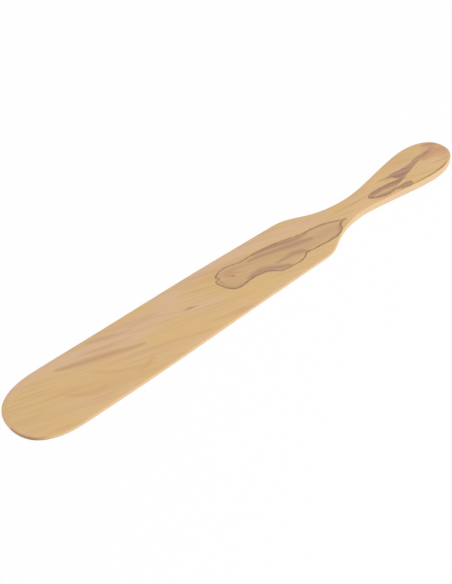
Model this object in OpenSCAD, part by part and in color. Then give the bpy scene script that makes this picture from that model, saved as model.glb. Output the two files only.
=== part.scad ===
// Crepe spatula, one piece of olive wood: a long thin blade with a round tip,
// soft shoulders, a slim neck and a handle that swells to a round end.
// The blade is planed thinner than the handle, and the underside is one plane.
// X runs from the blade's tip to the handle's end, Y across and Z up.
// The origin is on the underside, in the middle of the overall box.

/* [Blade] */
// Widest width of the blade, just behind its round tip
blade_width = 47; // [38:0.1:60]
// Length of the round tip
tip_length = 32; // [20:0.5:50]
// Length from the tip to where the shoulders start
blade_length = 213; // [120:1:260]
// Width of the blade where the shoulders start
shoulder_width = 42.5; // [34:0.1:56]
// Height of the blade's side at the tip
tip_edge = 1.9; // [1.4:0.1:4]
// Height of the blade's side along its length
blade_edge = 2.2; // [1.4:0.1:4]

/* [Neck] */
// Length from the start of the shoulders to the narrowest place
shoulder_length = 50; // [30:1:80]
// Width across the middle of the shoulders, where they turn hollow
mid_shoulder_width = 30; // [24:0.1:34]
// Width of the neck at its narrowest place
neck_width = 15.6; // [11:0.1:22]
// Height of the side at the neck
neck_edge = 4.8; // [3:0.1:7]

/* [Handle] */
// Length from the neck to the handle's widest place
swell_length = 61; // [40:1:90]
// Length from the widest place to the handle's end
butt_length = 26; // [16:1:40]
// Widest width of the handle
handle_width = 30.6; // [23:0.1:40]
// Height of the side at the handle's widest place
handle_edge = 5.6; // [3:0.1:9]
// Height of the side at the handle's end
butt_edge = 5.4; // [3:0.1:9]

/* [Finish] */
// Radius that eases the lower edge all round
low_ease = 0.5; // [0.2:0.1:1]
// Radius that eases the upper edge all round
top_ease = 0.6; // [0.2:0.1:1]
// Width of the softly sanded band inside the upper edge
soft_width = 4; // [1:0.1:5]
// Rise of the top across that band
soft_rise = 0.35; // [0.1:0.05:0.8]
// Further rise of the top from that band to the middle
crown = 0.3; // [0:0.05:1]

/* [Hand cutting] */
// How far the shoulders stray off the straight centreline
shoulder_stray = 1; // [-2:0.1:2]
// How far the neck strays
neck_stray = 0; // [-2:0.1:2]
// How far the handle's end strays
butt_stray = 1; // [-2:0.1:2]

/* [Hidden] */

// Places along the length, from the tip
neck_x = blade_length + shoulder_length;
swell_x = neck_x + swell_length;
overall_length = swell_x + butt_length;
// The shoulders turn from round to hollow here
turn_x = blade_length + 0.4 * shoulder_length;
// Slope of the sides there and where the shoulders start
turn_slope = 1.9 * (shoulder_width - neck_width) / 2 / shoulder_length;
taper_slope = 0.75 * (blade_width - shoulder_width) / (blade_length - tip_length);

// The band inside the upper edge stays clear of the neck's middle
soft_band = min(soft_width, neck_width / 2 - top_ease - 1);
// Wood left under the piece, which planing the underside takes off
planing = 1;

// Points along each stretch of the outline, and steps across each rounding
tip_steps = 9;
side_steps = 6;
turn_steps = 7;
swell_steps = 8;
butt_steps = 9;
ease_steps = 3;
band_steps = 2;
rungs = 6;

// Cubic curve through four points, in n steps, without its last point
function curve(p, n) = [
    for (k = [0 : n - 1])
        let (t = k / n, u = 1 - t)
        u * u * u * p[0] + 3 * u * u * t * p[1] + 3 * u * t * t * p[2] + t * t * t * p[3]
];

// Value at x of a line that eases from knot to knot, level beyond the ends
function eased(knots, x) =
    x <= knots[0][0] ? knots[0][1] :
    x >= knots[len(knots) - 1][0] ? knots[len(knots) - 1][1] :
    let (
        k = max([for (i = [0 : len(knots) - 2]) if (x >= knots[i][0]) i]),
        t = (x - knots[k][0]) / (knots[k + 1][0] - knots[k][0])
    )
    knots[k][1] + (knots[k + 1][1] - knots[k][1]) * (1 - cos(180 * t)) / 2;

// Half width against length, from the tip to the handle's end
function half_outline() = let (
    w = blade_width / 2,
    s = shoulder_width / 2,
    m = mid_shoulder_width / 2,
    n = neck_width / 2,
    h = handle_width / 2,
    side = blade_length - tip_length,
    corner = turn_x - blade_length,
    hollow = neck_x - turn_x
) concat(
    curve([[0, 0], [0, 0.6 * w], [0.3 * tip_length, w], [tip_length, w]], tip_steps),
    curve([
        [tip_length, w],
        [tip_length + 0.4 * side, w],
        [blade_length - 0.3 * side, s + 0.3 * side * taper_slope],
        [blade_length, s]
    ], side_steps),
    curve([
        [blade_length, s],
        [blade_length + 0.55 * corner, s - 0.55 * corner * taper_slope],
        [turn_x - 0.26 * corner, m + 0.26 * corner * turn_slope],
        [turn_x, m]
    ], turn_steps),
    curve([
        [turn_x, m],
        [turn_x + 0.18 * hollow, m - 0.18 * hollow * turn_slope],
        [neck_x - 0.52 * hollow, n],
        [neck_x, n]
    ], turn_steps),
    curve([
        [neck_x, n],
        [neck_x + 0.25 * swell_length, n],
        [swell_x - 0.25 * swell_length, h],
        [swell_x, h]
    ], swell_steps),
    curve([
        [swell_x, h],
        [swell_x + 0.41 * butt_length, h],
        [overall_length, 0.83 * h],
        [overall_length, 0]
    ], butt_steps),
    [[overall_length, 0]]
);

// Centreline of the hand-cut outline
stray_knots = [
    [2 * tip_length, 0],
    [0.78 * blade_length, shoulder_stray],
    [blade_length, shoulder_stray],
    [turn_x - 0.1 * shoulder_length, neck_stray],
    [neck_x, neck_stray],
    [swell_x + 0.5 * butt_length, butt_stray]
];

// Height of the side along the length
edge_knots = [
    [0, tip_edge],
    [tip_length, blade_edge],
    [blade_length, blade_edge],
    [neck_x, neck_edge],
    [swell_x, handle_edge],
    [overall_length, butt_edge]
];

half = half_outline();
last = len(half) - 1;
ring = 2 * last;

// Once round the outline: out along -Y from the tip, and back along +Y
outline = concat(
    [for (p = half) [p[0], eased(stray_knots, p[0]) - p[1]]],
    [for (k = [last - 1 : -1 : 1]) [half[k][0], eased(stray_knots, half[k][0]) + half[k][1]]]
);

// Outward direction at point k of the outline
function outward(k) = let (d = outline[(k + 1) % ring] - outline[(k + ring - 1) % ring])
    [d[1], -d[0]] / norm(d);

// The outline drawn in by some distance. A layer holds its points in space
function drawn_in(k, inset) = outline[k] - inset * outward(k);
function side_height(k) = eased(edge_knots, outline[k][0]);
function layer(inset, z, on_side = 0) = [
    for (k = [0 : ring - 1])
        let (p = drawn_in(k, inset)) [p[0], p[1], z + on_side * side_height(k)]
];

layers = concat(
    [layer(low_ease, -planing)],
    [for (s = [0 : ease_steps]) let (a = 90 * s / ease_steps)
        layer(low_ease * (1 - sin(a)), low_ease * (1 - cos(a)))],
    [for (s = [0 : ease_steps]) let (a = 90 * s / ease_steps)
        layer(top_ease * (1 - cos(a)), top_ease * (sin(a) - 1), 1)],
    [for (s = [1 : band_steps]) let (f = s / band_steps)
        layer(top_ease + soft_band * f, soft_rise * (1 - pow(1 - f, 2)), 1)]
);
top_layer = len(layers) - 1;

// Points across the crowned top, between the two sides of the top layer
crown_points = [
    for (k = [1 : last - 1]) for (r = [1 : rungs - 1])
        let (f = r / rungs, near = layers[top_layer][k], far = layers[top_layer][ring - k])
        near + (far - near) * f + [0, 0, crown * (1 - pow(2 * f - 1, 2))]
];

function at(l, k) = l * ring + k % ring;
function across(k, r) =
    k == 0 || k == last ? at(top_layer, k) :
    r == 0 ? at(top_layer, k) :
    r == rungs ? at(top_layer, ring - k) :
    len(layers) * ring + (k - 1) * (rungs - 1) + r - 1;

side_faces = [
    for (l = [0 : top_layer - 1]) for (k = [0 : ring - 1])
        each [[at(l, k), at(l + 1, k), at(l + 1, k + 1)], [at(l, k), at(l + 1, k + 1), at(l, k + 1)]]
];
top_faces = [
    for (k = [0 : last - 1]) for (r = [0 : rungs - 1])
        each [
            if (k < last - 1) [across(k, r), across(k + 1, r + 1), across(k + 1, r)],
            if (k > 0) [across(k, r), across(k, r + 1), across(k + 1, r + 1)]
        ]
];
under_faces = [
    for (k = [0 : last - 1])
        each [
            if (k < last - 1) [at(0, k), at(0, k + 1), at(0, ring - k - 1)],
            if (k > 0) [at(0, k), at(0, ring - k - 1), at(0, ring - k)]
        ]
];

// The piece as shaped, before its underside is planed
module shaped_blank() {
    polyhedron(
        points = concat([for (l = layers) each l], crown_points),
        faces = concat(side_faces, top_faces, under_faces),
        convexity = 4
    );
}

module spatula() {
    color("burlywood")
    translate([-overall_length / 2, 0, 0])
    difference() {
        shaped_blank();
        translate([-5, -blade_width, -2 * planing])
            cube([overall_length + 10, 2 * blade_width, 2 * planing]);
    }
}

spatula();
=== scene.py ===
"""Crepe spatula of olive wood: a flat board with a rounded tip, sloping shoulders and a swelling handle."""
import math

import bmesh
import bpy
import numpy as np
from bpy.props import FloatProperty, FloatVectorProperty, PointerProperty
from mathutils import Euler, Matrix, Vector, noise


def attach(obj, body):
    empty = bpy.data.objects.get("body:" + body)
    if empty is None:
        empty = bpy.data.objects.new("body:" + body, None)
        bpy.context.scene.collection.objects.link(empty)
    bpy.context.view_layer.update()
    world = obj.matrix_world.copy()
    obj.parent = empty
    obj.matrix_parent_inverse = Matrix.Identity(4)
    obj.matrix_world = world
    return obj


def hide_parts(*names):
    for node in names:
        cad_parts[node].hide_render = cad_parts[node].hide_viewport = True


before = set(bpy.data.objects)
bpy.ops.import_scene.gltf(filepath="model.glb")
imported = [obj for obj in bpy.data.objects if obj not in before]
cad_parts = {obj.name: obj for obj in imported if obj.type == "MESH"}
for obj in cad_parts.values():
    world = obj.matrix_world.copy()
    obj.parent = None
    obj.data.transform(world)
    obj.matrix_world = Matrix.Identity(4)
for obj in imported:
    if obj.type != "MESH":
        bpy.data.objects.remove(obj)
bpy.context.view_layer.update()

bl_info = {
    "name": "Crepe Spatula",
    "version": (1, 0, 0),
    "blender": (4, 5, 0),
    "location": "View3D > Sidebar > Spatula",
    "description": "Carves a flat wooden crepe spatula and lays its olive wood figure",
    "category": "Add Mesh",
}

MM = 0.001
PHOTO_HEIGHT = 584
PIXELS_PER_METRE = 1710


# Sizes and colours that a user may change.

def length(name, description, millimetres):
    """A length property, given in millimetres and held in metres."""
    return FloatProperty(
        name=name,
        description=description,
        default=millimetres * MM,
        min=0.0,
        soft_max=0.5,
        precision=4,
        unit="LENGTH",
        subtype="DISTANCE",
    )


def screen(red, green, blue):
    """A colour as a screen shows it, 0 to 255, as linear light."""
    return tuple(((c / 255 + 0.055) / 1.055) ** 2.4 for c in (red, green, blue))


def tint(name, description, red, green, blue):
    """A colour property, given as a screen shows it."""
    return FloatVectorProperty(
        name=name,
        description=description,
        default=screen(red, green, blue),
        min=0.0,
        max=1.0,
        size=3,
        subtype="COLOR",
    )


class SpatulaSizes(bpy.types.PropertyGroup):
    """The board's sizes, measured from the tip"""

    blade_width: length("Blade width", "Across the blade behind its rounded tip", 47.0)
    tip_length: length("Tip length", "From the tip to the full width of the blade", 32.0)
    blade_length: length("Blade length", "From the tip to the corners of the shoulders", 213.0)
    shoulder_width: length("Shoulder width", "Across the corners of the shoulders", 42.5)
    shoulder_length: length("Shoulder length", "From the corners of the shoulders to the neck", 50.0)
    mid_shoulder_width: length("Mid shoulder width", "Across the shoulders two fifths of the way down", 30.0)
    neck_width: length("Neck width", "Across the narrowest place", 15.6)
    swell_length: length("Swell length", "From the neck to the widest place of the handle", 61.0)
    handle_width: length("Handle width", "Across the widest place of the handle", 30.6)
    butt_length: length("Butt length", "From the widest place of the handle to its end", 26.0)
    tip_edge: length("Tip edge", "Thickness at the edge of the tip", 1.9)
    blade_edge: length("Blade edge", "Thickness at the edge of the blade", 2.2)
    neck_edge: length("Neck edge", "Thickness at the edge of the neck", 4.8)
    handle_edge: length("Handle edge", "Thickness at the edge of the handle", 5.6)
    butt_edge: length("Butt edge", "Thickness at the edge of the handle's end", 5.4)
    low_ease: length("Lower ease", "Radius that eases the lower edge", 0.5)
    top_ease: length("Upper ease", "Radius that eases the upper edge", 0.6)
    soft_width: length("Soft band", "Width of the sanded band inside the upper edge", 4.0)
    soft_rise: length("Soft rise", "Rise of the surface over that band", 0.35)
    crown: length("Crown", "Rise of the surface from that band to the middle", 0.3)
    shoulder_stray: length("Shoulder stray", "How far the shoulders sit to one side", 1.0)
    butt_stray: length("Butt stray", "How far the handle's end sits to one side", 1.0)
    unevenness: length("Unevenness", "How far hand sanding leaves the top from true", 0.06)


class WoodColours(bpy.types.PropertyGroup):
    """The colours of the olive wood, and a paler colour painted on its side walls as painted light"""

    straw: tint("Straw", "Most of the board", 220, 182, 125)
    rose: tint("Rose", "The warmer zones toward the far edge", 221, 183, 146)
    # Pale is painted light: it colours the side walls and eased edges paler, standing in for the brighter
    # light they catch.
    pale: tint("Pale", "The sawn and sanded edges", 222, 193, 152)
    brown: tint("Brown", "Soft brown streaks", 195, 149, 108)
    plum: tint("Plum", "The purple brown shadows of the figure", 165, 124, 103)
    ink: tint("Ink", "The fine dark lines of the figure", 132, 90, 72)
    orange: tint("Orange", "Knots and scorched looking spots", 205, 146, 94)
    russet: tint("Russet", "The reddish end of the handle", 203, 153, 112)
    # A dark line along the near upper edge of the handle and round the tip, laid on the near side only.
    near_edge_dark: tint("Scorch", "The dark line along the near upper edge", 156, 106, 62)


# The board's shape.

def curve(points, steps):
    """Places along a cubic curve, without its last."""
    places = []
    for k in range(steps):
        t = k / steps
        u = 1 - t
        shares = (u ** 3, 3 * u * u * t, 3 * u * t * t, t ** 3)
        places.append(tuple(sum(s * p[i] for s, p in zip(shares, points)) for i in (0, 1)))
    return places


def half_outline(s):
    """Distance from the tip and half width, from the tip to the end of the handle."""
    neck_x = s.blade_length + s.shoulder_length
    swell_x = neck_x + s.swell_length
    whole = swell_x + s.butt_length
    turn_x = s.blade_length + 0.4 * s.shoulder_length
    side = s.blade_length - s.tip_length
    corner = turn_x - s.blade_length
    hollow = neck_x - turn_x
    taper = 0.75 * (s.blade_width - s.shoulder_width) / side
    slope = 1.9 * (s.shoulder_width - s.neck_width) / 2 / s.shoulder_length
    wide = s.blade_width / 2
    shoulder = s.shoulder_width / 2
    middle = s.mid_shoulder_width / 2
    neck = s.neck_width / 2
    handle = s.handle_width / 2
    tip = [(0, 0), (0, 0.6 * wide), (0.3 * s.tip_length, wide), (s.tip_length, wide)]
    blade = [
        (s.tip_length, wide),
        (s.tip_length + 0.4 * side, wide),
        (s.blade_length - 0.3 * side, shoulder + 0.3 * side * taper),
        (s.blade_length, shoulder),
    ]
    bend = [
        (s.blade_length, shoulder),
        (s.blade_length + 0.55 * corner, shoulder - 0.55 * corner * taper),
        (turn_x - 0.26 * corner, middle + 0.26 * corner * slope),
        (turn_x, middle),
    ]
    sweep = [
        (turn_x, middle),
        (turn_x + 0.18 * hollow, middle - 0.18 * hollow * slope),
        (neck_x - 0.52 * hollow, neck),
        (neck_x, neck),
    ]
    swell = [
        (neck_x, neck),
        (neck_x + 0.25 * s.swell_length, neck),
        (swell_x - 0.25 * s.swell_length, handle),
        (swell_x, handle),
    ]
    butt = [
        (swell_x, handle),
        (swell_x + 0.41 * s.butt_length, handle),
        (whole, 0.83 * handle),
        (whole, 0),
    ]
    parts = ((tip, 14), (blade, 36), (bend, 10), (sweep, 12), (swell, 16), (butt, 14))
    places = []
    for points, steps in parts:
        places += curve(points, steps)
    return places + [(whole, 0)]


def eased(x, knots):
    """A value that passes through the knots with a level stretch at each."""
    for (a, low), (b, high) in zip(knots, knots[1:]):
        if x <= b:
            t = min(max((x - a) / (b - a), 0), 1)
            return low + (high - low) * (1 - math.cos(math.pi * t)) / 2
    return knots[-1][1]


def stray(x, s):
    """How far the middle of the board lies to one side, at a distance from the tip."""
    neck_x = s.blade_length + s.shoulder_length
    swell_x = neck_x + s.swell_length
    turn_x = s.blade_length + 0.4 * s.shoulder_length
    return eased(x, (
        (2 * s.tip_length, 0),
        (0.78 * s.blade_length, s.shoulder_stray),
        (s.blade_length, s.shoulder_stray),
        (turn_x - 0.1 * s.shoulder_length, 0),
        (neck_x, 0),
        (swell_x + 0.5 * s.butt_length, s.butt_stray),
    ))


def edge_thickness(x, s):
    """Thickness of the board at its edge, at a distance from the tip."""
    neck_x = s.blade_length + s.shoulder_length
    swell_x = neck_x + s.swell_length
    return eased(x, (
        (0, s.tip_edge),
        (s.tip_length, s.blade_edge),
        (s.blade_length, s.blade_edge),
        (neck_x, s.neck_edge),
        (swell_x, s.handle_edge),
        (swell_x + s.butt_length, s.butt_edge),
    ))


# Work on a mesh in edit mode.

def pick(mesh_object, mode, test):
    """Selects only what passes the test, in vertex, edge or face mode."""
    bpy.ops.mesh.select_mode(type=mode)
    bpy.ops.mesh.select_all(action="DESELECT")
    mesh = bmesh.from_edit_mesh(mesh_object.data)
    items = {"VERT": mesh.verts, "EDGE": mesh.edges, "FACE": mesh.faces}[mode]
    for item in items:
        if test(item):
            item.select_set(True)
    mesh.select_flush_mode()
    bmesh.update_edit_mesh(mesh_object.data)
    return mesh


def fill_flat_face(board, side, corner_steps, span):
    """Fills the flat top (side 1) or underside (side -1) with even quads that follow the rim."""
    pick(board, "FACE", lambda f: len(f.verts) > 4 and f.normal.z * side > 0.5)
    bpy.ops.mesh.delete(type="ONLY_FACE")
    mesh = pick(board, "VERT", lambda v: any(len(e.link_faces) == 1 for e in v.link_edges))
    rim = [v for v in mesh.verts if v.select]
    walk = [min(rim, key=lambda v: v.co.x)]
    while len(walk) <= corner_steps:
        here = walk[-1]
        ahead = [e.other_vert(here) for e in here.link_edges if len(e.link_faces) == 1]
        ahead = [v for v in ahead if v not in walk]
        walk.append(max(ahead, key=lambda v: v.co.y * side))
    mesh.select_history.clear()
    mesh.select_history.add(walk[-1])
    bmesh.update_edit_mesh(board.data)
    bpy.ops.mesh.fill_grid(span=span, offset=0)


def apply_modifier(board, kind, **settings):
    """Adds one modifier and applies it."""
    modifier = board.modifiers.new(kind.title(), kind)
    for key, value in settings.items():
        setattr(modifier, key, value)
    bpy.ops.object.modifier_apply(modifier=modifier.name)


def saw_blank(s):
    """A board of even thickness, sawn to the outline, with both faces filled with quads."""
    half = half_outline(s)
    whole = half[-1][0]
    ring = [(x, stray(x, s) - y) for x, y in half]
    ring += [(x, stray(x, s) + y) for x, y in half[-2:0:-1]]
    ring = [Vector((x - whole / 2, y, 0)) for x, y in ring]
    thick = s.handle_edge + s.soft_rise + s.crown
    hair = 0.0001 * MM

    bpy.ops.object.select_all(action="DESELECT")
    bpy.ops.mesh.primitive_plane_add(size=MM, location=ring[0])
    board = bpy.context.object
    board.name = "spatula_board"
    bpy.ops.object.mode_set(mode="EDIT")
    bpy.ops.mesh.merge(type="CENTER")
    for here, there in zip(ring, ring[1:]):
        bpy.ops.mesh.extrude_region_move(TRANSFORM_OT_translate={"value": there - here})
    bpy.ops.mesh.select_all(action="SELECT")
    bpy.ops.mesh.edge_face_add()
    bpy.ops.mesh.extrude_region_move(TRANSFORM_OT_translate={"value": (0, 0, thick)})
    bpy.ops.mesh.select_all(action="SELECT")
    bpy.ops.mesh.normals_make_consistent(inside=False)

    pick(board, "EDGE", lambda e: all(v.co.z > thick - hair for v in e.verts))
    bpy.ops.mesh.bevel(offset=s.top_ease, segments=4, affect="EDGES")
    pick(board, "EDGE", lambda e: all(v.co.z < hair for v in e.verts))
    bpy.ops.mesh.bevel(offset=s.low_ease, segments=3, affect="EDGES")
    for share in (1 / 3, 1 / 3, 1 / 3):
        pick(board, "FACE", lambda f: len(f.verts) > 4 and f.normal.z > 0.5)
        bpy.ops.mesh.inset(thickness=s.soft_width * share, use_even_offset=True)
    pick(board, "FACE", lambda f: len(f.verts) > 4 and f.normal.z < -0.5)
    bpy.ops.mesh.inset(thickness=s.soft_width / 2, use_even_offset=True)
    fill_flat_face(board, 1, 6, 12)
    fill_flat_face(board, -1, 6, 12)
    bpy.ops.mesh.select_all(action="SELECT")
    bpy.ops.mesh.normals_make_consistent(inside=False)
    bpy.ops.object.mode_set(mode="OBJECT")
    bpy.ops.object.transform_apply(location=True, rotation=True, scale=True)
    apply_modifier(board, "SUBSURF", levels=2, render_levels=2)
    return board


def places_of(board):
    """The board's vertices as an array of rows."""
    flat = np.empty(3 * len(board.data.vertices))
    board.data.vertices.foreach_get("co", flat)
    return flat.reshape(-1, 3)


def rim_distance(places, s):
    """How far each place lies inside the outline, seen from above."""
    half = half_outline(s)
    whole = half[-1][0]
    low = [(x - whole / 2, stray(x, s) - y) for x, y in half]
    high = [(x - whole / 2, stray(x, s) + y) for x, y in half[-2:0:-1]]
    return nearest(places[:, :2], np.array(low + high + low[:1]))[0]


# The crown rises over this share of the blade's width, and the sanding marks have these sizes.
CROWN_REACH = 0.34
WAVE_LENGTH = 45 * MM
WAVE_WIDTH = 18 * MM
WAVE_START = 3.7


def plane_to_thickness(board, s):
    """Planes the top down to the board's thickness, softens it inside the edge and crowns it."""
    places = places_of(board)
    thick = s.handle_edge + s.soft_rise + s.crown
    whole = s.blade_length + s.shoulder_length + s.swell_length + s.butt_length
    inside = rim_distance(places, s) - s.top_ease
    wall = np.clip((places[:, 2] - s.low_ease) / (thick - s.top_ease - s.low_ease), 0, 1)
    flat_top = np.clip((places[:, 2] - thick + s.top_ease) / s.top_ease, 0, 1)
    cuts = []
    for place, depth, up, top in zip(places, inside, wall, flat_top):
        x = place[0] + whole / 2
        edge = edge_thickness(x, s)
        reach = min(max(depth, 0) / s.soft_width, 1)
        rise = s.soft_rise * (1 - (1 - reach) ** 2)
        inner = max(depth - s.soft_width, 0) / (CROWN_REACH * s.blade_width)
        rise += s.crown * (1 - (1 - min(inner, 1)) ** 2)
        waver = noise.noise(Vector((place[0] / WAVE_LENGTH, place[1] / WAVE_WIDTH, WAVE_START)))
        rise += s.unevenness * waver * reach
        cuts.append(up * (thick - edge) - top * rise)
    group = board.vertex_groups.new(name="planing")
    for index, cut in enumerate(cuts):
        group.add([index], min(max(cut / thick, 0), 1), "REPLACE")
    apply_modifier(
        board, "DISPLACE", direction="Z", mid_level=0.0, strength=-thick, vertex_group="planing"
    )
    board.vertex_groups.remove(board.vertex_groups["planing"])


# The figure of the wood, drawn on the board in millimetres from its middle.

FIGURE = (
    (-19.6, 8.3, 0.7), (-20.5, 10.1, 0.9), (-18.8, 11.7, 0.9), (-15.7, 13.1, 0.8), (-11.0, 13.5, 0.7),
    (-6.0, 12.7, 0.7), (-0.4, 10.9, 0.7), (4.8, 10.9, 0.8), (10.4, 11.0, 0.8), (16.1, 10.4, 0.8),
    (22.3, 9.7, 0.8), (28.4, 8.3, 0.8), (34.4, 6.8, 0.8), (41.5, 4.7, 0.8), (45.8, 3.7, 0.8),
    (50.2, 3.4, 0.8), (57.0, 1.8, 0.8), (63.2, -0.3, 0.8), (68.5, -3.3, 0.8), (74.2, -5.7, 0.5),
    (70.0, -5.9, 0.7), (67.4, -7.0, 0.9), (67.0, -9.4, 1.0), (64.6, -11.4, 0.9), (59.8, -12.7, 0.9),
    (53.6, -12.4, 1.0), (47.6, -11.5, 1.0), (41.3, -10.8, 1.0), (36.3, -9.7, 1.0), (33.0, -11.5, 1.0),
    (28.0, -12.9, 0.9), (21.0, -12.4, 0.8), (14.1, -11.5, 0.8), (10.8, -9.2, 0.8), (7.6, -6.4, 0.8),
    (2.9, -4.9, 0.8), (-3.6, -4.1, 1.0), (-11.4, -4.7, 1.0), (-16.6, -4.4, 0.9), (-19.4, -2.4, 0.9),
    (-21.4, 0.6, 0.9), (-22.4, 3.6, 0.8), (-22.9, 6.2, 0.9), (-22.3, 8.0, 0.8),
)


# A leaf, a long patch and a small lens of dark wood on the handle, each as place and line weight.
LEAF = (
    (98.3, -1.9, 0.8), (100.8, -0.4, 0.7), (104.6, 0.2, 0.6), (110.6, -0.1, 0.6), (116.5, -0.8, 0.5),
    (122.9, -2.0, 0.5), (128.0, -3.0, 0.4), (133.5, -3.4, 0.2), (128.5, -4.7, 0.2), (123.5, -5.6, 0.4),
    (119.5, -6.9, 0.7), (116.4, -8.0, 0.9), (113.0, -8.5, 1.0), (109.1, -8.4, 1.0), (105.4, -7.2, 1.0),
    (101.6, -5.6, 0.9), (99.0, -3.6, 0.9),
)
PATCH = (
    (112.6, 5.1, 0.5), (117.2, 4.4, 0.6), (121.2, 3.7, 0.6), (127.1, 4.0, 0.4), (131.5, 3.3, 0.4),
    (138.0, 2.9, 0.3), (143.3, 3.0, 0.3), (147.9, 4.2, 0.3), (155.0, 4.9, 0.2), (162.5, 4.2, 0.2),
    (161.3, 2.4, 0.2), (156.1, 1.7, 0.3), (149.8, 1.0, 0.5), (141.5, -1.2, 0.4), (135.9, -2.5, 0.4),
    (131.2, -3.1, 0.5), (127.0, -2.8, 0.6), (125.2, -0.6, 0.5), (123.6, 1.7, 0.4), (120.6, 2.9, 0.5),
    (116.8, 3.9, 0.5),
)
LENS = (
    (114.5, -8.0, 0.9), (120.0, -7.5, 0.6), (125.4, -7.4, 0.4), (129.9, -8.6, 0.4), (131.2, -10.5, 0.5),
    (128.2, -11.8, 0.9), (124.1, -10.8, 1.0), (119.4, -9.1, 1.0),
)

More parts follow.
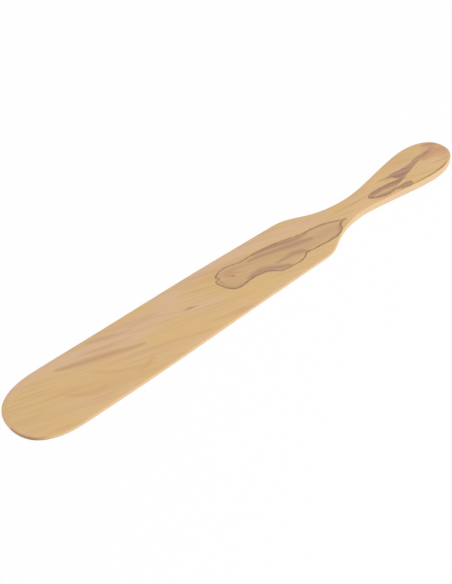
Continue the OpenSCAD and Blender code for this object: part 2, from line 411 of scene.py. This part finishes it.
# Soft strokes: colour, strength, and a line of places with half widths.
STROKES = (
    # The figure's purple shadows: under the upper line, then a second band, the lower curve and the wedge.
    ("plum", 0.80, (
        (9, 10.3, 0.8), (19.5, 8.8, 1.7), (26.6, 7.1, 2.1), (33.4, 5.1, 2.1), (40, 3.2, 1.5),
        (48, 2.3, 0.9),
    )),
    ("plum", 0.58, (
        (3.8, 8.3, 1), (13.1, 6.5, 1.5), (21.8, 4.1, 1.8), (30, 1.9, 3), (35.4, 0.2, 3.2),
        (41, -1.3, 2.6), (47, -3.2, 1.3),
    )),
    ("plum", 0.75, (
        (-7, -3.3, 1.3), (-1, -2.7, 2.6), (5, -3.3, 3.4), (10, -5.6, 3.4), (14.5, -8.4, 3),
        (20, -10.8, 1.8),
    )),
    ("plum", 0.66, ((15, -4.3, 1), (22, -4.8, 1.6), (28.7, -5.2, 2.3), (33.5, -7, 2.6), (37, -9.6, 1.4))),
    ("plum", 0.45, (
        (-18.5, 10.6, 1), (-20.6, 5.5, 1.4), (-20.4, 1, 1.6), (-17.6, -2.6, 1.6), (-11, -4.1, 1.2),
        (-4, -3.6, 1),
    )),
    ("plum", 0.60, (
        (71, -5.3, 0.9), (67.8, -6.6, 1.5), (65.2, -9.2, 1.7), (61.5, -11.4, 1.1), (55, -11.4, 0.8),
    )),
    ("plum", 0.40, ((46, 3, 0.9), (56, 1.2, 1), (63, -0.9, 1.1), (68, -3.9, 1))),
    # The handle: the patch at its far edge with a trail, and a soft band above the leaf.
    ("plum", 0.60, ((163.2, 10.2, 1.2), (167, 9, 2.4), (170.6, 7.6, 2.6), (172.8, 5.2, 1.3))),
    ("plum", 0.38, ((169.5, 6.6, 1.6), (166, 4.9, 1.8), (162, 3.6, 1.5), (158, 3.1, 1))),
    # A faint purple cast near the far edge of the blade.
    ("plum", 0.26, (
        (-109, 20, 1.2), (-103, 18.2, 2.2), (-97, 15.6, 2.4), (-90.5, 13, 1.8), (-84, 11.6, 1),
    )),
    # Brown streaks of the blade.
    ("brown", 0.80, (
        (-134, 15.4, 1.2), (-128, 13, 2.2), (-122, 10.9, 2.8), (-114.5, 8.4, 3.2), (-107, 5.8, 3.2),
        (-100, 3.3, 2.8), (-93, 0.6, 2), (-85, -1.8, 1.2),
    )),
    ("brown", 0.34, ((-117, 15.4, 0.8), (-106, 12, 1.5), (-97, 9.6, 1.3), (-88, 6.8, 0.9))),
    ("brown", 0.30, (
        (-120, 2, 0.8), (-113, -5.4, 1.6), (-105, -10.4, 1.7), (-97.5, -13.6, 1.3), (-90, -16, 0.8),
    )),
    ("brown", 0.26, ((-74, 12.1, 0.8), (-66, 9.4, 1.1), (-57, 5, 0.9), (-50, 2.6, 0.6))),
    ("brown", 0.26, ((-85, 14, 0.8), (-76, 13.2, 1.2), (-64, 12, 0.9))),
    ("brown", 0.32, ((-43, 21, 0.6), (-33, 19.2, 0.8), (-21.7, 17.4, 0.6))),
    ("brown", 0.55, (
        (72, 2.9, 0.4), (77.4, 1.9, 0.7), (84.8, 0.6, 0.9), (95, 0.1, 0.8), (101, -0.4, 0.5),
    )),
    ("brown", 0.62, ((155.5, -6.9, 0.4), (160, -7.8, 0.8), (166.5, -8.7, 0.9), (170, -8.9, 0.5))),
    # Knots and warm spots.
    ("orange", 1.00, ((-52.4, 3, 0.5), (-49.4, 2.1, 1.0), (-47.6, 1.8, 1.0), (-43.4, 0.6, 0.5))),
    ("orange", 0.62, (
        (-15.5, 7.6, 0.8), (-12.3, 8.5, 1.4), (-9.4, 7.2, 1.2), (-6.6, 4.6, 0.9), (-3.4, 3, 0.6),
    )),
    ("orange", 0.55, ((-14, 6.2, 1), (-11.8, 5.6, 1.7), (-9.8, 4, 1))),
    ("orange", 0.34, (
        (-140.5, -3, 1), (-136.5, -6.4, 1.9), (-131.5, -10, 2.1), (-126.5, -12, 2.3),
        (-120.5, -12.8, 1.7),
    )),
    ("orange", 0.30, ((-100, -15.8, 1), (-95, -15.6, 1.8), (-90, -13.4, 1.8), (-87, -14, 1))),
    ("orange", 0.45, ((117.5, 2, 0.8), (121, 1.2, 1.4), (125.5, -0.6, 1))),
    ("orange", 0.34, ((106, -9, 0.8), (114, -10.2, 1.2), (122, -11.2, 1.1))),
    ("orange", 0.30, ((155, 11.6, 1), (160.5, 9, 1.6), (163.5, 7.6, 1))),
    ("orange", 0.30, ((154, -13.4, 1.2), (161, -11.6, 1.6), (168, -8, 1.2))),
    # The pit beside the knot in the figure, and the heart of the lone knot.
    ("ink", 0.90, ((-12.5, 6.6, 0.35), (-12, 5.6, 0.7), (-11.4, 4.6, 0.4))),
    ("ink", 0.45, ((-49.4, 2.2, 0.5), (-48.2, 1.9, 0.8), (-46.6, 1.6, 0.4))),
    # Rose zones along the far edge, round the lone knot, at the neck and round the tip.
    ("rose", 0.85, (
        (-162, 18, 3), (-146, 21, 5), (-130, 19, 8), (-112, 14, 11), (-95, 11, 11), (-78, 10, 11),
        (-62, 11, 9), (-48, 17, 7),
    )),
    ("rose", 0.80, (
        (-62, 21, 4), (-30, 20, 5), (0, 20, 7), (20, 17, 8), (36, 13, 7), (52, 9, 4), (70, 7, 3),
    )),
    ("rose", 0.75, ((-60, 3.4, 3), (-52, 2.2, 5), (-41, -1.6, 5), (-29, -5, 3))),
    ("rose", 0.60, ((-174, 6, 2), (-174, -4, 3), (-169, -14, 2.5))),
    ("rose", 0.45, ((88, 3, 3), (97, 1.6, 3), (106, 3.4, 3), (116, 7, 3))),
    ("rose", 0.35, ((-20, 6, 3), (-12, 5, 4), (0, 4, 4), (12, 2, 3))),
    # The reddish end of the handle.
    ("russet", 1.00, ((153, 0, 2.4), (160, 1.5, 6), (167, 1, 9), (172, -1, 9))),
    # Yellow wood inside the figure's round end, beside the fine line at the handle's end and in the leaf.
    ("straw", 0.45, ((-18, 2.5, 3), (-9, 1.5, 5), (0, 3.5, 4), (9, 4, 2))),
    ("straw", 0.60, ((152, -9, 1.5), (160, -10.6, 2), (166, -10.8, 1.5))),
    ("straw", 0.72, (
        (102.5, -3.6, 0.8), (109.4, -4.6, 2.0), (114.4, -5.3, 2.0), (119.5, -6.0, 1.3),
        (126, -6.4, 0.6),
    )),
)
# How far the figure moves and shrinks for each millimetre below the top.
LEAN_ALONG = 1.6
LEAN_ACROSS = -0.5
SHRINK = 0.35
# How high the top lies, at places along the board.
TOP_HEIGHT = ((-175, 38, 88, 149, 175), (2.3, 2.8, 5.2, 6.0, 5.8))
# Half widths of the dark lines along the near upper edge of the handle and round the tip.
ARRIS_WIDTH = 0.75
TIP_LINE_WIDTH = 1.2
# The angle from the board's length to the grain.
GRAIN_TURN = math.radians(17)
TINTS = ("rose", "russet", "brown", "orange", "plum", "straw", "ink")


def flow(points, steps):
    """A smooth line through the points, each with its own further values; closed if the ends meet."""
    points = np.array(points, dtype=float)
    closed = np.allclose(points[0], points[-1])
    before = points[-2] if closed else 2 * points[0] - points[1]
    after = points[1] if closed else 2 * points[-1] - points[-2]
    chain = np.vstack([before, points, after])
    t = (np.arange(steps) / steps)[:, None]
    rows = []
    for a, b, c, d in zip(chain, chain[1:], chain[2:], chain[3:]):
        square = 2 * a - 5 * b + 4 * c - d
        cube = 3 * b - a - 3 * c + d
        rows.append(0.5 * (2 * b + (c - a) * t + square * t ** 2 + cube * t ** 3))
    return np.vstack(rows + [points[-1:]])


def nearest(places, line):
    """Distance from each place to the line, and how far along the line the nearest point lies."""
    best = np.full(len(places), 1e9)
    along = np.zeros(len(places))
    for index, (a, b) in enumerate(zip(line, line[1:])):
        step = b[:2] - a[:2]
        share = np.clip(((places - a[:2]) @ step) / max(step @ step, 1e-18), 0, 1)
        gap = np.hypot(*(places - a[:2] - share[:, None] * step).T)
        closer = gap < best
        best[closer] = gap[closer]
        along[closer] = index + share[closer]
    return best, along


def inside_loop(places, loop):
    """True for the places inside a closed line."""
    inside = np.zeros(len(places), dtype=bool)
    x, y = places.T
    for a, b in zip(loop, loop[1:]):
        crosses = (a[1] > y) != (b[1] > y)
        rise = b[1] - a[1] if abs(b[1] - a[1]) > 1e-12 else 1e-12
        inside ^= crosses & (x < a[0] + (y - a[1]) * (b[0] - a[0]) / rise)
    return inside


def keep(board, name, values):
    """Keeps one number for each vertex of the board."""
    layer = board.data.attributes.new(name, "FLOAT", "POINT")
    layer.data.foreach_set("value", np.asarray(values, dtype=np.float32))


def closed_shape(places, outline):
    """How far inside a closed shape each place is, in millimetres, and the weight of its line there."""
    loop = flow(outline + outline[:1], 6)
    gap, along = nearest(places, loop)
    weight = np.interp(along, np.arange(len(loop)), loop[:, 2])
    return np.where(inside_loop(places, loop), gap, -gap), weight


def stroke(places, line):
    """1 on a soft stroke's line, falling to 0 at its half width."""
    path = flow(line, 4)
    gap, along = nearest(places, path)
    share = np.clip(gap / np.interp(along, np.arange(len(path)), path[:, 2]) / 1.25, 0, 1)
    return 1 - share * share * (3 - 2 * share)


def lay_figure(board, s):
    """Keeps the wood's figure on the board; it leans through the thickness, so the underside differs."""
    places = places_of(board) / MM
    x, y, z = places.T
    rim = rim_distance(places * MM, s) / MM
    handle_line = np.clip(1 - np.abs(rim - ARRIS_WIDTH) / ARRIS_WIDTH, 0, 1)
    handle_line *= np.interp(x, (118, 126, 140, 158, 168), (0, 0.6, 0.9, 1, 0))
    tip_line = np.clip(1 - rim / TIP_LINE_WIDTH, 0, 1) * np.interp(x, (-175, -171, -162), (0.6, 0.9, 0))
    keep(board, "arris", np.maximum(handle_line, tip_line) * (y < 0))
    depth = np.maximum(np.interp(x, *TOP_HEIGHT) - z, 0)
    places = np.column_stack([x + LEAN_ALONG * depth, y + LEAN_ACROSS * depth])
    inside, weight = closed_shape(places, FIGURE)
    keep(board, "figure", inside - SHRINK * depth)
    keep(board, "figure_line", weight)
    dark, line = closed_shape(places, LEAF)
    for outline in (PATCH, LENS):
        inside, weight = closed_shape(places, outline)
        line = np.where(inside > dark, weight, line)
        dark = np.maximum(dark, inside)
    keep(board, "heart", dark)
    keep(board, "heart_line", line)
    keep(board, "heart_depth", np.interp(places[:, 0], (126, 136, 146, 165), (1.0, 0.95, 0.75, 0.45)))
    for name in TINTS:
        amount = np.zeros(len(places))
        for colour, strength, path in STROKES:
            if colour == name:
                amount = np.maximum(amount, strength * stroke(places, path))
        keep(board, name, amount)


# Shader nodes.

class Wire:
    """A shader socket that takes part in sums."""

    def __init__(self, shop, socket):
        self.shop = shop
        self.socket = socket

    def math(self, operation, *others, swapped=False):
        """Adds a Math node; swapped puts this socket last."""
        terms = (*others, self) if swapped else (self, *others)
        node = self.shop.node("ShaderNodeMath", {"operation": operation}, dict(enumerate(terms)))
        return Wire(self.shop, node.outputs[0])

    def __add__(self, other):
        return self.math("ADD", other)

    __radd__ = __add__

    def __sub__(self, other):
        return self.math("SUBTRACT", other)

    def __rsub__(self, other):
        return self.math("SUBTRACT", other, swapped=True)

    def __mul__(self, other):
        return self.math("MULTIPLY", other)

    __rmul__ = __mul__

    def __abs__(self):
        return self.math("ABSOLUTE")

    def above(self, low, high):
        """0 below low, 1 above high, smooth between; high may be the lower one."""
        node = self.shop.node(
            "ShaderNodeMapRange",
            {"interpolation_type": "SMOOTHSTEP"},
            {"Value": self, "From Min": low, "From Max": high, "To Min": 0.0, "To Max": 1.0},
        )
        return Wire(self.shop, node.outputs["Result"])


class Shop:
    """The nodes of one material or world."""

    def __init__(self, owner):
        owner.use_nodes = True
        self.tree = owner.node_tree
        self.tree.nodes.clear()

    def node(self, kind, settings, inputs):
        """Adds a node, sets it and then fills its sockets with values or links."""
        node = self.tree.nodes.new(kind)
        for key, value in settings.items():
            setattr(node, key, value)
        for key, value in inputs.items():
            if isinstance(value, Wire):
                self.tree.links.new(value.socket, node.inputs[key])
            else:
                node.inputs[key].default_value = value
        return node

    def wire(self, kind, settings, inputs, output=0):
        """Adds a node and returns one of its outputs."""
        return Wire(self, self.node(kind, settings, inputs).outputs[output])

    def mix(self, share, first, second):
        """Blends two colours."""
        colours = [value if isinstance(value, Wire) else (*value, 1.0) for value in (first, second)]
        settings = {"data_type": "RGBA", "blend_type": "MIX"}
        return self.wire("ShaderNodeMix", settings, {0: share, 6: colours[0], 7: colours[1]}, 2)


def olive_wood(colours):
    """The olive wood."""
    material = bpy.data.materials.new("olive_wood")
    shop = Shop(material)
    output = shop.node("ShaderNodeOutputMaterial", {}, {})
    place = shop.wire("ShaderNodeTexCoord", {}, {}, "Object")
    grain = shop.wire(
        "ShaderNodeMapping",
        {"vector_type": "POINT"},
        {"Vector": place, "Rotation": (0.0, 0.0, GRAIN_TURN), "Scale": (1 / MM, 1 / MM, 1 / MM)},
    )

    def field(scale, detail, rough=0.5, shift=0.0):
        """Noise drawn out along the grain."""
        stretched = shop.wire(
            "ShaderNodeMapping",
            {"vector_type": "POINT"},
            {"Vector": grain, "Scale": scale, "Location": (shift, shift * 0.7, shift * 0.3)},
        )
        return shop.wire(
            "ShaderNodeTexNoise",
            {},
            {"Vector": stretched, "Scale": 1.0, "Detail": detail, "Roughness": rough},
        )

    def kept(name):
        """A number kept on the board's vertices."""
        return shop.wire("ShaderNodeAttribute", {"attribute_name": name}, {}, "Fac")

    bands = field((0.010, 0.13, 0.25), 3.0, 0.55)
    streaks = field((0.018, 0.6, 0.7), 3.0, 0.55, 4.0)
    fibre = field((0.06, 2.6, 2.6), 3.0, 0.6, 11.0)
    cloud = field((0.03, 0.07, 0.1), 2.0, 0.5, 9.0)
    wobble = field((0.35, 0.9, 0.9), 2.0, 0.6, 2.0) - 0.5
    # Painted light: the steep side walls and eased edges get a paler colour, as though lit more brightly
    # than the top.
    normal = shop.wire("ShaderNodeNewGeometry", {}, {}, "Normal")
    facing = abs(shop.wire("ShaderNodeSeparateXYZ", {}, {"Vector": normal}, "Z"))
    lit_side_share = 1 - facing.above(0.25, 0.85)

    uneven = 0.62 + streaks * 0.46 + bands * 0.3
    colour = shop.mix(cloud.above(0.42, 0.64) * 0.35, colours.straw, colours.rose)
    colour = shop.mix((kept("rose") * uneven).above(0.0, 1.0), colour, colours.rose)
    colour = shop.mix(kept("russet") * uneven, colour, colours.russet)
    colour = shop.mix(bands.above(0.48, 0.7) * 0.3, colour, colours.brown)
    colour = shop.mix(streaks.above(0.5, 0.74) * 0.36, colour, colours.brown)
    colour = shop.mix(kept("brown") * uneven, colour, colours.brown)
    colour = shop.mix(kept("orange") * uneven, colour, colours.orange)
    colour = shop.mix(kept("plum") * uneven, colour, colours.plum)

    heart = kept("heart") + wobble * 1.2
    dark = heart.above(-0.35, 0.5) * kept("heart_depth")
    colour = shop.mix(dark * (0.66 + streaks.above(0.36, 0.62) * 0.34), colour, colours.plum)
    colour = shop.mix(dark * fibre.above(0.46, 0.66) * 0.3, colour, colours.ink)
    colour = shop.mix(kept("straw") * uneven, colour, colours.straw)
    line = (1 - abs(heart - 0.25).above(0.1, 0.8)) * kept("heart_line")
    colour = shop.mix(line * 0.42, colour, colours.ink)
    figure = kept("figure") + wobble * 1.3
    colour = shop.mix(figure.above(0.0, 3.0) * uneven * 0.27, colour, colours.plum)
    line = (1 - abs(figure).above(0.18, 0.72)) * kept("figure_line")
    colour = shop.mix(line * 0.86, colour, colours.ink)
    halo = (1 - figure.above(0.0, 1.5)) * figure.above(-0.3, 0.1) * kept("figure_line")
    colour = shop.mix(halo * 0.3, colour, colours.plum)
    colour = shop.mix(kept("ink"), colour, colours.ink)
    colour = shop.mix(fibre.above(0.5, 0.76) * 0.24, colour, colours.brown)
    # Painted light: the side walls painted paler.
    colour = shop.mix(lit_side_share * 0.85, colour, colours.pale)
    # A dark line laid along the near upper edge and round the tip, on the near side only.
    colour = shop.mix(kept("arris"), colour, colours.near_edge_dark)

    height = fibre * 0.5 + streaks * 0.3 - kept("ink") * 0.6
    bump = shop.wire("ShaderNodeBump", {}, {"Strength": 0.25, "Distance": 0.0001, "Height": height})
    surface = shop.node(
        "ShaderNodeBsdfPrincipled",
        {},
        {"Base Color": colour, "Roughness": 0.46 + streaks * 0.2, "Normal": bump},
    )
    shop.tree.links.new(surface.outputs[0], output.inputs["Surface"])
    return material


class SPATULA_OT_carve(bpy.types.Operator):
    """Saw the blank, ease its edges, plane it to thickness and lay the figure of the wood"""

    bl_idname = "spatula.carve"
    bl_label = "Carve Spatula"
    bl_options = {"REGISTER", "UNDO"}

    def execute(self, context):
        sizes = context.scene.spatula_sizes
        board = saw_blank(sizes)
        plane_to_thickness(board, sizes)
        bpy.ops.object.shade_smooth_by_angle(angle=math.radians(40))
        lay_figure(board, sizes)
        board.data.materials.append(olive_wood(context.scene.wood_colours))
        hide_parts("spatula")
        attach(board, "root")
        return {"FINISHED"}


class SPATULA_OT_stage(bpy.types.Operator):
    """Lay a plain white floor, set soft studio light and place the camera"""

    bl_idname = "spatula.stage"
    bl_label = "Set Stage"
    bl_options = {"REGISTER", "UNDO"}

    def execute(self, context):
        scene = context.scene
        bpy.ops.object.select_all(action="DESELECT")
        bpy.ops.mesh.primitive_plane_add(size=6.0, location=(0.0, 0.0, -0.2 * MM))
        floor = context.object
        floor.name = "floor"
        floor.data.materials.append(white_floor())
        white_world(scene)
        soft_light("overhead", 1.0, 3.0, (0.1, -0.3, 1.2))
        soft_light("front", 0.8, 6.2, (0.5, -1.2, 0.35))

        down = math.radians(44.04)
        turn = math.radians(42.58)
        distance = 0.7
        target = Vector((-0.0218, -0.00012, 0.0))
        level = math.cos(down)
        look = Vector((math.sin(turn) * level, math.cos(turn) * level, -math.sin(down)))
        bpy.ops.object.camera_add(
            location=target - distance * look,
            rotation=Euler((math.pi / 2 - down, 0.0, -turn)),
        )
        camera = context.object
        camera.name = "camera"
        camera.data.sensor_width = 36.0
        camera.data.lens = PIXELS_PER_METRE * distance / PHOTO_HEIGHT * camera.data.sensor_width
        camera.data.clip_start = 0.01
        camera.data.clip_end = 50.0
        scene.camera = camera
        scene.view_settings.view_transform = "Standard"
        return {"FINISHED"}


def seen_white(shop):
    """1 for the rays that look at the background: from the camera, from gloss and through glass."""
    path = shop.node("ShaderNodeLightPath", {}, {})
    seen = Wire(shop, path.outputs["Is Camera Ray"])
    seen = seen.math("MAXIMUM", Wire(shop, path.outputs["Is Glossy Ray"]))
    return seen.math("MAXIMUM", Wire(shop, path.outputs["Is Transmission Ray"]))


def white_floor():
    """White paper that keeps a faint shadow."""
    material = bpy.data.materials.new("white_paper")
    shop = Shop(material)
    output = shop.node("ShaderNodeOutputMaterial", {}, {})
    paper = shop.wire("ShaderNodeBsdfDiffuse", {}, {"Color": (1.0, 1.0, 1.0, 1.0)})
    glow = shop.wire("ShaderNodeEmission", {}, {"Color": (1.0, 1.0, 1.0, 1.0), "Strength": 1.0})
    mixed = shop.node("ShaderNodeMixShader", {}, {0: seen_white(shop) * 0.92, 1: paper, 2: glow})
    shop.tree.links.new(mixed.outputs[0], output.inputs["Surface"])
    return material


def white_world(scene):
    """Even pale light all round."""
    world = bpy.data.worlds.new("studio")
    scene.world = world
    shop = Shop(world)
    output = shop.node("ShaderNodeOutputWorld", {}, {})
    light = shop.wire("ShaderNodeBackground", {}, {"Color": (1.0, 1.0, 1.0, 1.0), "Strength": 0.7})
    white = shop.wire("ShaderNodeBackground", {}, {"Color": (1.0, 1.0, 1.0, 1.0), "Strength": 1.0})
    mixed = shop.node("ShaderNodeMixShader", {}, {0: seen_white(shop), 1: light, 2: white})
    shop.tree.links.new(mixed.outputs[0], output.inputs["Surface"])


def soft_light(name, size, watts, place):
    """A large square lamp aimed at the middle of the board."""
    bpy.ops.object.light_add(type="AREA", location=place)
    lamp = bpy.context.object
    lamp.name = name
    lamp.rotation_euler = (-Vector(place)).to_track_quat("-Z", "Y").to_euler()
    lamp.data.size = size
    lamp.data.energy = watts
    lamp.visible_camera = False


class SPATULA_PT_panel(bpy.types.Panel):
    """Lists the spatula's tools, sizes and colours"""

    bl_idname = "SPATULA_PT_panel"
    bl_label = "Crepe Spatula"
    bl_space_type = "VIEW_3D"
    bl_region_type = "UI"
    bl_category = "Spatula"

    def draw(self, context):
        layout = self.layout
        layout.operator(SPATULA_OT_carve.bl_idname)
        layout.operator(SPATULA_OT_stage.bl_idname)
        for group in (context.scene.spatula_sizes, context.scene.wood_colours):
            column = layout.column(align=True)
            for name in group.bl_rna.properties.keys():
                if name not in ("rna_type", "name"):
                    column.prop(group, name)


CLASSES = (SpatulaSizes, WoodColours, SPATULA_OT_carve, SPATULA_OT_stage, SPATULA_PT_panel)


def register():
    for cls in CLASSES:
        bpy.utils.register_class(cls)
    bpy.types.Scene.spatula_sizes = PointerProperty(type=SpatulaSizes)
    bpy.types.Scene.wood_colours = PointerProperty(type=WoodColours)


def unregister():
    del bpy.types.Scene.wood_colours
    del bpy.types.Scene.spatula_sizes
    for cls in reversed(CLASSES):
        bpy.utils.unregister_class(cls)


def main():
    register()
    bpy.ops.spatula.carve()
    bpy.ops.spatula.stage()


if __name__ == "__main__":
    main()
